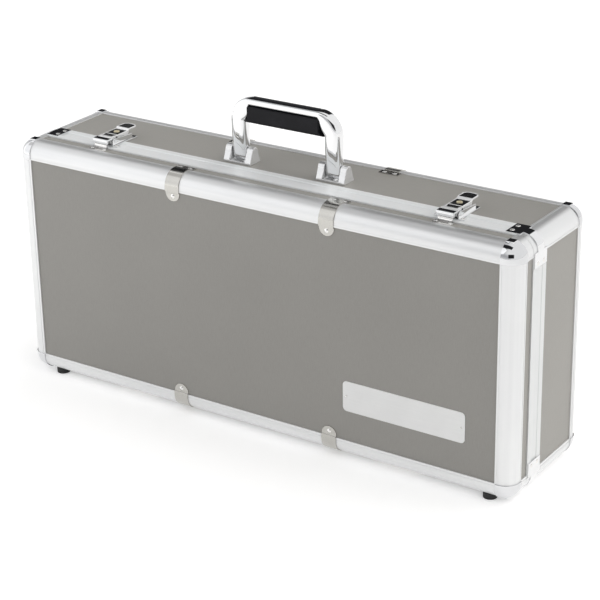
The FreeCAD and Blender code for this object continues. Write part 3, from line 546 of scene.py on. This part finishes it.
# Darker copy of the chrome for the corner caps: painted shade that stands in for grey reflections
# on the ball corners.
CAP_PAINTED_SHADE = PolishedMetal("cap_chrome_painted_shade", (0.71, 0.715, 0.725), 0.045, 0.08)
MOUNT = PolishedMetal("mount_chrome", (0.80, 0.805, 0.81), 0.12, 0.06, metallic=0.6)
LEVER = PolishedMetal("lever_chrome", (0.86, 0.865, 0.87), 0.08, 0.06, metallic=0.42)
NICKEL = PolishedMetal("nickel_plate", (0.80, 0.79, 0.775), 0.16, 0.16)
STRAP = PolishedMetal("strap_nickel", (0.53, 0.52, 0.49), 0.16, 0.10)
RIVET = PolishedMetal("rivet_nickel", (0.82, 0.81, 0.79), 0.12, 0.1)
BRASS = PolishedMetal("key_brass", (0.93, 0.84, 0.60), 0.35, 0.12, metallic=0.5)
RUBBER = MouldedBlack("foot_rubber", (0.012, 0.012, 0.012), 0.6, 0.5 * MM, 0.03 * MM)
GRIP = MouldedBlack("grip_skin", (0.005, 0.005, 0.007), 0.5, 0.7 * MM, 0.05 * MM, specular=0.22)
GLOSS = MouldedBlack("insert_gloss", (0.006, 0.006, 0.007), 0.12, 2.5 * MM, 0.004 * MM, coat=0.8)
FOAM = Foam("lining_foam")
PLATE = PaintedPlate("bare_plate")


class Painter:
    """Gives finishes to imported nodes, each material made once."""

    def __init__(self) -> None:
        """Start with no materials made."""
        self.made: Dict[str, bpy.types.Material] = {}

    def material(self, finish: Finish) -> bpy.types.Material:
        """Find a finish's material, which is made on first use.

        Args:
            finish: the finish.

        Returns:
            Its material.
        """
        if finish.name not in self.made:
            self.made[finish.name] = finish.paint()
        return self.made[finish.name]

    def dress(self, nodes: Iterable[str], finish: Finish) -> None:
        """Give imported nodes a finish.

        Args:
            nodes: names of the nodes.
            finish: the finish.
        """
        for name in nodes:
            for holder in frame["nodes"][name].material_slots:
                holder.material = self.material(finish)
            log.info("%s: %s", name, finish.name)


class Shape:
    """A mesh in the making, in the row frame."""

    def __init__(self, mesh: Optional[bmesh.types.BMesh] = None) -> None:
        """Start from a given mesh or an empty one."""
        self.mesh = mesh or bmesh.new()

    @classmethod
    def of_node(cls, name: str, whole: bool = True) -> "Shape":
        """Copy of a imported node, its loose triangles merged.

        Args:
            name: the node.
            whole: make each flat face one face, which a face with pockets in it can't be.

        Returns:
            The copy.
        """
        mesh = bmesh.new()
        mesh.from_mesh(frame["nodes"][name].data)
        bmesh.ops.remove_doubles(mesh, verts=mesh.verts[:], dist=MERGE_DISTANCE)
        if not whole:
            return cls(mesh)
        bmesh.ops.dissolve_limit(
            mesh,
            angle_limit=FLAT_ANGLE,
            use_dissolve_boundaries=False,
            verts=mesh.verts[:],
            edges=mesh.edges[:],
            delimit={"NORMAL"},
        )
        return cls(mesh)

    def soften(
        self,
        width: float,
        segments: int = 3,
        spared: Optional[Box] = None,
    ) -> "Shape":
        """Round every sharp outer edge.

        Args:
            width: reach of the rounding on each face.
            segments: steps across the rounding.
            spared: two corners of a box; an edge inside it stays as it is.

        Returns:
            The same shape.
        """
        edges = [
            edge for edge in self.mesh.edges
            if len(edge.link_faces) == 2 and edge.calc_face_angle(0) > SHARP_ANGLE
            and edge.is_convex and not (spared and self.inside(edge, spared))
        ]
        bmesh.ops.bevel(
            self.mesh,
            geom=edges,
            offset=width,
            offset_type="OFFSET",
            affect="EDGES",
            segments=segments,
            profile=0.5,
            clamp_overlap=False,
            material=-1,
        )
        return self

    @staticmethod
    def inside(edge: bmesh.types.BMEdge, box: Box) -> bool:
        """Whether both ends of an edge lie in a box."""
        low, high = box
        return all(low[i] <= vert.co[i] <= high[i] for vert in edge.verts for i in range(3))

    def even_normals(self) -> List[Vector]:
        """Work out normals that are drawn to the largest faces, so that flat faces stay flat.

        Returns:
            The normal of each vertex.
        """
        self.mesh.normal_update()
        self.mesh.verts.index_update()
        found = []
        for vert in self.mesh.verts:
            total = Vector()
            for face in vert.link_faces:
                total += face.normal * face.calc_area() * self.corner(face, vert)
            found.append(total.normalized() if total.length > 0 else Vector((0, 0, 1)))
        return found

    @staticmethod
    def corner(face: bmesh.types.BMFace, vert: bmesh.types.BMVert) -> float:
        """Angle of a face at one of its vertices."""
        loop = next(loop for loop in face.loops if loop.vert == vert)
        return max(loop.calc_angle(), SMALLEST_CORNER)

    def islands(self) -> List[Box]:
        """Find the separate solids.

        Returns:
            The lowest and highest corner of each.
        """
        found = []
        left = set(self.mesh.verts)
        while left:
            queue = [left.pop()]
            solid = []
            while queue:
                vert = queue.pop()
                solid.append(vert.co.copy())
                for edge in vert.link_edges:
                    other = edge.other_vert(vert)
                    if other in left:
                        left.remove(other)
                        queue.append(other)
            low = Vector(min(co[i] for co in solid) for i in range(3))
            high = Vector(max(co[i] for co in solid) for i in range(3))
            found.append((low, high))
        return found

    def piece(
        self, name: str, material: bpy.types.Material, slot: str, body: str
    ) -> bpy.types.Object:
        """Close the mesh and set the piece on its body.

        Args:
            name: the piece's name.
            material: its finish.
            slot: material slot of the record; not used.
            body: body that carries it.

        Returns:
            The piece.
        """
        data = bpy.data.meshes.new(name)
        normals = self.even_normals()
        self.mesh.to_mesh(data)
        self.mesh.free()
        data.shade_smooth()
        data.normals_split_custom_set_from_vertices(normals)
        data.materials.append(material)
        made = bpy.data.objects.new(name, data)
        bpy.context.scene.collection.objects.link(made)
        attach(made, body)
        log.info("%s: %d faces on %s", name, len(data.polygons), body)
        return made


SLOTS: Dict[str, str] = {
    part["node"]: part["material_slot"] for part in frame["record"]["subparts"]
}


@dataclass
class Rounding:
    """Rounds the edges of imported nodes, so that bright metal catches the light along them."""

    width: float
    segments: int = 3
    whole: bool = True

    def apply(
        self,
        painter: Painter,
        nodes: Iterable[str],
        finish: Finish,
        spared: Optional[Box] = None,
    ) -> None:
        """Replace each node with a rounded copy.

        Args:
            painter: source of the material.
            nodes: names of the nodes.
            finish: the finish.
            spared: two corners of a box whose edges stay as they are.
        """
        for node in nodes:
            shape = Shape.of_node(node, self.whole).soften(self.width, self.segments, spared)
            body = frame["nodes"][node]["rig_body"]
            made = shape.piece(f"{node}_rounded", painter.material(finish), SLOTS[node], body)
            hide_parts(node)


class EdgeFrame:
    """Extrusions, rim profiles and panels."""

    def dress(self, painter: Painter) -> None:
        """Give each extrusion its die lines along its own length, and the panels their grain.

        Args:
            painter: source of the materials.
        """
        ends = ("back", "front")
        long_edges = [f"{end}_edge_{side}" for end in ends for side in ("top", "bottom")]
        uprights = [f"{end}_edge_{side}" for end in ends for side in ("right", "left")]
        painter.dress(long_edges, EDGE_X)
        painter.dress(uprights, EDGE_Z)
        painter.dress(["base_corner_edges", "lid_corner_edges"], EDGE_Y)
        painter.dress(["rim_profile_top", "rim_profile_bottom", "lid_rim_tongue"], RIM_X_PAINTED_LIGHT)
        painter.dress(["rim_profile_right", "rim_profile_left"], RIM_Z_PAINTED_SHADE)
        painter.dress(["base_top_panel", "base_bottom_panel", "lid_side_strips"], PANEL_X)
        painter.dress(["base_back_panel", "lid_front_panel"], PANEL_Z)
        painter.dress(["base_right_panel", "base_left_panel"], PANEL_Z)


@dataclass
class Hardware:
    """Corners, clips, brackets, rivets, hinges, feet and nameplate."""

    strap_round: float = 0.22 * MM
    foot_round: float = 0.8 * MM

    def dress(self, painter: Painter) -> None:
        """Give the fittings their finishes and round the pressed ones.

        Args:
            painter: source of the materials.
        """
        painter.dress(["hinge_pins", "handle_backing_plates", "handle_pins"], NICKEL)
        painter.dress(["base_rivets", "lid_rivets", "base_screws", "lid_screws"], RIVET)
        painter.dress(["nameplate_pins"], RIVET)
        pressed = Rounding(self.strap_round, segments=2)
        pressed.apply(painter, ["lid_edge_clips", "back_edge_clips"], STRAP)
        pressed.apply(painter, ["rim_corner_brackets"], CHROME)
        pressed.apply(painter, ["back_corner_caps", "front_corner_caps"], CAP_PAINTED_SHADE)
        pressed.apply(painter, ["hinge_base_leaves", "hinge_lid_leaves", "latch_keepers"], NICKEL)
        pressed.apply(painter, ["nameplate"], PLATE)
        Rounding(self.foot_round).apply(painter, ["base_feet", "lid_feet"], RUBBER)


@dataclass
class Handle:
    """Carrying handle, swept from one foot over the rail to the other, and its two mounts."""

    rail_thickness: float = 9.0 * MM
    leg_width: float = 19.6 * MM
    bend: float = 27.0 * MM
    foot_depth: float = 11.6 * MM
    flare_height: float = 34.0 * MM
    squareness: float = 2.9
    inner_draw: float = 3.5
    ring_points: int = 44
    foot_steps: int = 6
    leg_steps: int = 8
    bend_steps: int = 16
    rail_steps: int = 8
    least_share: float = 0.02
    mount_round: float = 0.6 * MM
    strip_round: float = 0.4 * MM

    def dress(self, painter: Painter) -> None:
        """Make the handle and give its pieces their finishes.

        Args:
            painter: source of the materials.
        """
        self.frame(painter.material(CHROME))
        mounts = [f"handle_mount_{side}" for side in ("right", "left")]
        Rounding(self.mount_round).apply(painter, mounts, MOUNT)
        Rounding(self.strip_round).apply(painter, ["handle_top_strip", "handle_grip"], GRIP)

    def depth(self, above: float, foot: float, full: float) -> float:
        """Depth of the section at a height.

        Args:
            above: height above the pin.
            foot: how far the foot reaches below the pin.
            full: depth of the rail.

        Returns:
            The depth.
        """
        lift = min(max(above / self.flare_height, 0.0), 1.0)
        wide = self.foot_depth + (full - self.foot_depth) * lift * lift * (3 - 2 * lift)
        drop = max(-above, 0.0) / foot
        return wide * math.sqrt(max(1 - drop * drop, self.least_share ** 2))

    def stations(self) -> List[Station]:
        """Lay the sections from the right foot over the rail to the left foot.

        Returns:
            Outer point, inner point and depth of each section.
        """
        low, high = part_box("handle_frame")
        pin = next(joint for joint in frame["joints"] if joint["name"] == "handle_swing")
        middle, axis_z = pin["pos_m"][1], pin["pos_m"][2]
        foot = axis_z - low.z
        outer, inner = high.x, high.x - self.leg_width
        turn_z, turn_x = high.z - self.bend, high.x - self.bend
        full = high.y - low.y
        swings = [math.pi / 2 * (1 - step / self.foot_steps) for step in range(self.foot_steps)]
        heights = [-foot * math.sin(swing) for swing in swings]
        heights += [(turn_z - axis_z) * step / self.leg_steps for step in range(self.leg_steps)]
        half: List[Station] = []
        for above in heights:
            z = axis_z + above
            deep = self.depth(above, foot, full)
            half.append((Vector((outer, middle, z)), Vector((inner, middle, z)), deep))
        for step in range(self.bend_steps + 1):
            swing = math.pi / 2 * step / self.bend_steps
            cos, sin = math.cos(swing), math.sin(swing)
            out = Vector((turn_x + self.bend * cos, middle, turn_z + self.bend * sin))
            near = Vector((
                turn_x + (inner - turn_x) * cos ** self.inner_draw,
                middle,
                turn_z + (self.bend - self.rail_thickness) * sin ** self.inner_draw,
            ))
            half.append((out, near, full))
        for step in range(1, self.rail_steps + 1):
            x = turn_x * (1 - step / self.rail_steps)
            out = Vector((x, middle, high.z))
            half.append((out, out - Vector((0, 0, self.rail_thickness)), full))
        flip = [
            (Vector((-out.x, out.y, out.z)), Vector((-near.x, near.y, near.z)), deep)
            for out, near, deep in reversed(half[:-1])
        ]
        return half + flip

    def frame(self, material: bpy.types.Material) -> None:
        """Sweep the rounded section along the stations and close both feet.

        Args:
            material: the frame's finish.
        """
        shape = Shape()
        power = 2 / self.squareness
        rings = []
        for out, near, deep in self.stations():
            ring = []
            for index in range(self.ring_points):
                turn = 2 * math.pi * index / self.ring_points
                cos, sin = math.cos(turn), math.sin(turn)
                across = math.copysign(abs(cos) ** power, cos)
                along = math.copysign(abs(sin) ** power, sin)
                point = (out + near) / 2 + (out - near) / 2 * across
                ring.append(shape.mesh.verts.new(point + Vector((0, deep / 2 * along, 0))))
            edges = [
                shape.mesh.edges.new((ring[index], ring[(index + 1) % self.ring_points]))
                for index in range(self.ring_points)
            ]
            rings.append(edges)
        for first, second in zip(rings, rings[1:]):
            bmesh.ops.bridge_loops(shape.mesh, edges=first + second)
        bmesh.ops.holes_fill(shape.mesh, edges=rings[0] + rings[-1], sides=0)
        bmesh.ops.recalc_face_normals(shape.mesh, faces=shape.mesh.faces[:])
        body = frame["nodes"]["handle_frame"]["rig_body"]
        made = shape.piece("handle_swept_frame", material, SLOTS["handle_frame"], body)
        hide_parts("handle_frame")


@dataclass
class Latches:
    """The two key latches."""

    lever_round: float = 0.6 * MM
    plate_round: float = 0.45 * MM
    bail_round: float = 0.5 * MM
    insert_round: float = 0.3 * MM

    def dress(self, painter: Painter) -> None:
        """Round each latch's pieces and give them their finishes.

        Args:
            painter: source of the materials.
        """
        painter.dress(["latch_pins"], CHROME)
        for side in ("right", "left"):
            low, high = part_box(f"latch_inserts_{side}")
            reach = Vector([self.lever_round] * 3)
            front = (low - reach, Vector((high.x, low.y, high.z)) + reach)
            lever = Rounding(self.lever_round, whole=False)
            lever.apply(painter, [f"latch_lever_{side}"], LEVER, front)
            Rounding(self.plate_round).apply(painter, [f"latch_plate_{side}"], CHROME)
            Rounding(self.bail_round).apply(painter, [f"latch_bail_{side}"], CHROME)
            inserts = Rounding(self.insert_round, segments=2)
            inserts.apply(painter, [f"latch_inserts_{side}"], GLOSS)
            painter.dress([f"latch_key_{side}"], BRASS)


@dataclass
class Lining:
    """Foam pads: plain crowned ones in the base, wave-cut foam in the lid."""

    cell: float = 5.0 * MM
    wave: float = 24.0 * MM
    crown: float = 1.2 * MM
    edge_round: float = 6.0 * MM
    pocket_gap: float = 1.2 * MM
    swell_across: float = 31.0 * MM
    swell_along: float = 37.0 * MM
    valley: float = 0.42

    def dress(self, painter: Painter) -> None:
        """Make every pad.

        Args:
            painter: source of the materials.
        """
        material = painter.material(FOAM)
        plates = Shape.of_node("handle_backing_plates").islands()
        middle = (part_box("base_lining")[0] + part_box("base_lining")[1]) / 2
        shape = Shape()
        for low, high in Shape.of_node("base_lining").islands():
            self.pad(shape, low, high, middle, plates, self.crowned)
        base = shape.piece("base_foam_pads", material, SLOTS["base_lining"], "base")
        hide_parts("base_lining")
        shape = Shape()
        low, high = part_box("lid_lining")
        self.pad(shape, low, high, middle, [], self.waved)
        lid = shape.piece("lid_foam_pad", material, SLOTS["lid_lining"], "lid")
        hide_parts("lid_lining")

    def crowned(self, across: float, along: float, edge: float, thick: float) -> float:
        """Height of a plain pad's face: full, and rounded off towards its rim.

        Args:
            across: place along the face's first axis.
            along: place along its second axis.
            edge: distance from the rim.
            thick: thickness of the pad.

        Returns:
            The height.
        """
        ease = min(edge / self.edge_round, 1.0)
        first, second = math.sin(across / self.swell_across), math.cos(along / self.swell_along)
        swell = 0.5 + 0.25 * first + 0.25 * second
        return thick - self.crown * (1 - ease) ** 2 - 0.25 * self.crown * swell

    def waved(self, across: float, along: float, edge: float, thick: float) -> float:
        """Height of the wave-cut pad's face: rows of rounded peaks, level at the rim.

        Args:
            across: place along the face's first axis.
            along: place along its second axis.
            edge: distance from the rim.
            thick: thickness of the pad.

        Returns:
            The height.
        """
        ease = min(edge / self.edge_round, 1.0)
        turn = 2 * math.pi / self.wave
        peak = 0.5 + 0.25 * (math.cos(across * turn) + math.cos(along * turn))
        return thick * (self.valley + (1 - self.valley) * peak * ease)

    def pad(
        self,
        shape: Shape,
        low: Vector,
        high: Vector,
        middle: Vector,
        pockets: Sequence[Box],
        height: Height,
    ) -> None:
        """Add one pad whose detailed face looks at the middle of the case.

        Args:
            shape: mesh that takes the pad.
            low: its lowest corner.
            high: its highest corner.
            middle: point that the face looks at.
            pockets: lowest and highest corners of what the pad is cut away for.
            height: height of the face for a place and its distance from the rim.
        """
        size = high - low
        thin = min(range(3), key=lambda axis: size[axis])
        first, second = [axis for axis in range(3) if axis != thin]
        inward = 1 if middle[thin] > (low[thin] + high[thin]) / 2 else -1
        foot = low[thin] if inward > 0 else high[thin]
        holes = [
            (near - Vector([self.pocket_gap] * 3), far + Vector([self.pocket_gap] * 3))
            for near, far in pockets
            if near[thin] < high[thin] and far[thin] > low[thin]
            and near[first] < high[first] and far[first] > low[first]
            and near[second] < high[second] and far[second] > low[second]
        ]
        lines = []
        for axis in (first, second):
            count = max(2, round(size[axis] / self.cell))
            marks = {low[axis] + size[axis] * step / count for step in range(count + 1)}
            for hole in holes:
                rims = {corner[axis] for corner in hole}
                least = self.cell / 3
                marks = {mark for mark in marks if min(abs(mark - rim) for rim in rims) > least}
                marks |= rims
            lines.append(sorted(marks))
        grid = {}
        for i, a in enumerate(lines[0]):
            for j, b in enumerate(lines[1]):
                edge = min(a - low[first], high[first] - a, b - low[second], high[second] - b)
                spot = [0.0, 0.0, 0.0]
                spot[first], spot[second] = a, b
                spot[thin] = foot + inward * height(a, b, edge, size[thin])
                grid[i, j] = shape.mesh.verts.new(spot)
        faces = []
        for i in range(len(lines[0]) - 1):
            for j in range(len(lines[1]) - 1):
                a = (lines[0][i] + lines[0][i + 1]) / 2
                b = (lines[1][j] + lines[1][j + 1]) / 2
                if any(n[first] < a < f[first] and n[second] < b < f[second] for n, f in holes):
                    continue
                corners = (grid[i, j], grid[i + 1, j], grid[i + 1, j + 1], grid[i, j + 1])
                faces.append(shape.mesh.faces.new(corners))
        made = bmesh.ops.extrude_face_region(shape.mesh, geom=faces, use_keep_orig=True)
        for item in made["geom"]:
            if isinstance(item, bmesh.types.BMVert):
                item.co[thin] = foot
        loose = [vert for vert in shape.mesh.verts if not vert.link_faces]
        bmesh.ops.delete(shape.mesh, geom=loose, context="VERTS")
        bmesh.ops.recalc_face_normals(shape.mesh, faces=shape.mesh.faces[:])


@dataclass
class Viewpoint:
    """Camera at the photograph's angle."""

    azimuth: float = math.radians(34.314)
    elevation: float = math.radians(23.246)
    roll: float = math.radians(-1.109)
    distance: float = 2.1255
    aim: Tuple[float, float, float] = (0.0427, -0.0418, 0.1637)
    focal_pixels: float = 1919.8
    frame_pixels: float = 600.0
    sensor: float = 36.0

    def place(self) -> None:
        """Make the camera and hand it to the scene."""
        back = Vector((
            math.sin(self.azimuth) * math.cos(self.elevation),
            -math.cos(self.azimuth) * math.cos(self.elevation),
            math.sin(self.elevation),
        ))
        level = Vector((math.cos(self.azimuth), math.sin(self.azimuth), 0))
        right = math.cos(self.roll) * level + math.sin(self.roll) * back.cross(level)
        up = back.cross(right)
        data = bpy.data.cameras.new("camera")
        data.sensor_width = self.sensor
        data.lens = self.focal_pixels / self.frame_pixels * self.sensor
        camera = bpy.data.objects.new("camera", data)
        bpy.context.scene.collection.objects.link(camera)
        turn = Matrix((right, up, back)).transposed().to_4x4()
        camera.matrix_world = Matrix.Translation(Vector(self.aim) + back * self.distance) @ turn
        bpy.context.scene.camera = camera


@dataclass(frozen=True)
class Card:
    """Dark card or grey flag that hangs far off and shows in the chrome."""

    azimuth: float
    elevation: float
    half_width: float
    half_height: float
    tilt: float = 0.0
    feather: float = 0.03

    def share(self, s: Surface, parts: Sequence[Wire]) -> Wire:
        """How much of the card a direction meets.

        Args:
            s: the world's tree.
            parts: the direction's x, y and z.

        Returns:
            One on the card and nought off it.
        """
        turn, lift = math.radians(self.azimuth), math.radians(self.elevation)
        ahead = Vector((
            math.sin(turn) * math.cos(lift),
            math.cos(turn) * math.cos(lift),
            math.sin(lift),
        ))
        level = Vector((math.cos(turn), -math.sin(turn), 0))
        upright = level.cross(ahead)
        lean = math.radians(self.tilt)
        side = math.cos(lean) * level + math.sin(lean) * upright
        top = math.cos(lean) * upright - math.sin(lean) * level
        depth, across, upward = (
            parts[0] * way.x + parts[1] * way.y + parts[2] * way.z for way in (ahead, side, top)
        )
        mask = depth.between(0.0, 0.05)
        for reach, half in ((across, self.half_width), (upward, self.half_height)):
            ratio = s.node("ShaderNodeMath", {"operation": "ABSOLUTE"}, {0: reach}) - depth * half
            mask = mask * (1 - ratio.between(-self.feather, self.feather))
        return mask


@dataclass
class Studio:
    """Pale floor, soft light, and the dark cards and grey flags that bright metal reflects."""

    floor_half: float = 12.0
    floor_colour: Colour = (0.93, 0.93, 0.93)
    floor_roughness: float = 0.9
    floor_specular: float = 0.1
    floor_glow: Colour = (0.33, 0.33, 0.33)
    sky_strength: float = 0.86
    sky_level: float = 0.80
    sky_slope: Tuple[float, float, float] = (0.98, 0.95, 0.75)
    sky_dark: Colour = (0.22, 0.22, 0.23)
    sky_light: Colour = (1.75, 1.73, 1.70)
    dark_cards: Tuple[Card, ...] = (
        Card(-30.0, 36.0, 0.42, 0.38),
        Card(-123.0, 70.0, 0.60, 0.21, -52.0),
        Card(152.0, 20.0, 0.34, 0.22),
    )
    grey_flags: Tuple[Card, ...] = (
        Card(-155.0, 16.0, 1.30, 0.26, 0.0, 0.22),
        Card(-105.0, 44.0, 0.75, 0.50, 0.0, 0.40),
    )
    card_colour: Colour = (0.02, 0.02, 0.022)
    flag_colour: Colour = (0.50, 0.505, 0.52)
    key_power: float = 13.2
    key_size: float = 2.4
    key_place: Tuple[float, float, float] = (-1.34, -0.88, 1.14)
    key_aim: Tuple[float, float, float] = (0.0, 0.0, 0.15)

    def build(self) -> None:
        """Make the floor, the room and the lamp."""
        self.floor()
        self.room()
        self.key_light()

    def floor(self) -> None:
        """Pale floor that keeps the case's shadow."""
        mesh = bpy.data.meshes.new("floor")
        shape = bmesh.new()
        bmesh.ops.create_grid(shape, x_segments=1, y_segments=1, size=self.floor_half)
        shape.to_mesh(mesh)
        shape.free()
        floor = bpy.data.objects.new("floor", mesh)
        bpy.context.scene.collection.objects.link(floor)
        material, s = new_material("floor_paper")
        glow = s.mix(self.seen(s), BLACK, self.floor_glow)
        s.shade({
            "Base Color": (*self.floor_colour, 1),
            "Roughness": self.floor_roughness,
            "Specular IOR Level": self.floor_specular,
            "Emission Color": glow,
            "Emission Strength": 1.0,
        })
        mesh.materials.append(material)

    @staticmethod
    def seen(s: Surface) -> Wire:
        """Tell the rays that see a surface from those that only light others.

        Args:
            s: the tree that asks.

        Returns:
            One for rays from the camera, from gloss and through glass, else nought.
        """
        kinds = ("Is Camera Ray", "Is Glossy Ray", "Is Transmission Ray")
        camera, gloss, through = (s.node("ShaderNodeLightPath", output=kind) for kind in kinds)
        return (camera + gloss + through).at_most(1.0)

    def room(self) -> None:
        """White room, lighter above and to the right, with the cards hung in it."""
        world = bpy.data.worlds.new("studio")
        bpy.context.scene.world = world
        world.use_nodes = True
        s = Surface(world.node_tree)
        direction = s.node("ShaderNodeTexCoord", output="Generated")
        split = s.node("ShaderNodeSeparateXYZ", None, {0: direction})
        parts = [Wire(s, socket) for socket in split.socket.node.outputs]
        x, y, z = (slope * part for slope, part in zip(self.sky_slope, parts))
        level = self.sky_level + x + y + z
        walls = s.mix(level.between(0.0, 2.0), self.sky_dark, self.sky_light)
        seen = self.seen(s)
        colour = s.mix(seen, walls, WHITE)
        hidden = 1 - s.node("ShaderNodeLightPath", output="Is Camera Ray")
        hung = [(flag, self.flag_colour) for flag in self.grey_flags]
        hung += [(card, self.card_colour) for card in self.dark_cards]
        for card, paint in hung:
            colour = s.mix(card.share(s, parts) * hidden, colour, paint)
        strength = self.sky_strength + (1 - self.sky_strength) * seen
        glow = s.node("ShaderNodeBackground", None, {"Color": colour, "Strength": strength})
        s.node("ShaderNodeOutputWorld", None, {"Surface": glow})

    def key_light(self) -> None:
        """Large soft lamp from the upper left."""
        data = bpy.data.lights.new("key", "AREA")
        data.shape = "SQUARE"
        data.size = self.key_size
        data.energy = self.key_power
        lamp = bpy.data.objects.new("key", data)
        bpy.context.scene.collection.objects.link(lamp)
        lamp.location = self.key_place
        toward = Vector(self.key_aim) - Vector(self.key_place)
        lamp.rotation_mode = "QUATERNION"
        lamp.rotation_quaternion = toward.to_track_quat("-Z", "Y")


def main() -> None:
    """Build and dress the case, then the studio round it."""
    logging.basicConfig(level=logging.INFO, format="%(name)s %(message)s")
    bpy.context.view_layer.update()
    bpy.context.scene.view_settings.view_transform = "Standard"
    painter = Painter()
    for assembly in (EdgeFrame(), Hardware(), Handle(), Latches(), Lining()):
        assembly.dress(painter)
    Studio().build()
    Viewpoint().place()


if __name__ == "__main__":
    main()
